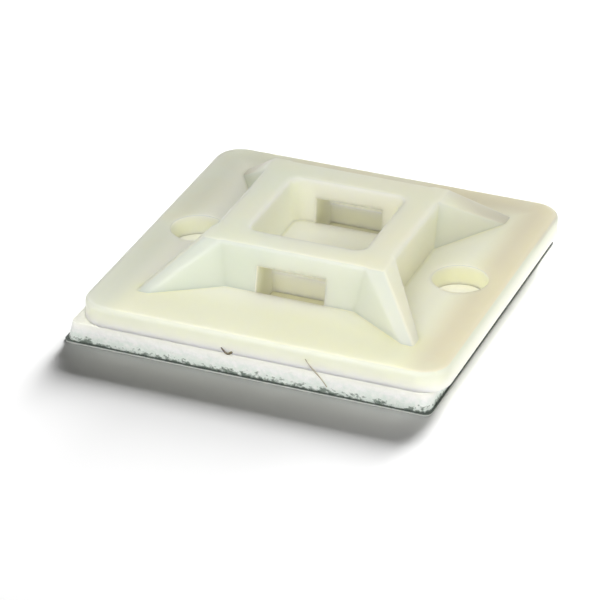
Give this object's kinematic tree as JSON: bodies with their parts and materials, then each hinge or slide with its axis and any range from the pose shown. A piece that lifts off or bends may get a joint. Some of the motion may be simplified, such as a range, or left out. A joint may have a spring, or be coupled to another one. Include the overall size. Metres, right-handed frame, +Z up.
{
  "type": "cable tie mount",
  "caption": "Square self-adhesive cable tie mount: hollow raised frame with tie slots, two screw holes, foam pad and release liner.",
  "frame": {"origin": "on the underside of the release liner, below the centre of the nylon plate", "axes": "+Z up out of the surface the mount is stuck to; +Y along the path of the tie through both slots; +X across the slots, towards one screw hole"},
  "size_m": [0.029, 0.0284, 0.0068],
  "materials": {
    "natural_nylon": "satin, milky translucent",
    "white_foam": "matte closed-cell foam with a rough cut edge",
    "liner_paper": "dark coated paper with a pale cut edge"
  },
  "bodies": {
    "root": {"mount_body": "natural_nylon", "foam_pad": "white_foam", "release_liner": "liner_paper"}
  },
  "joints": []
}
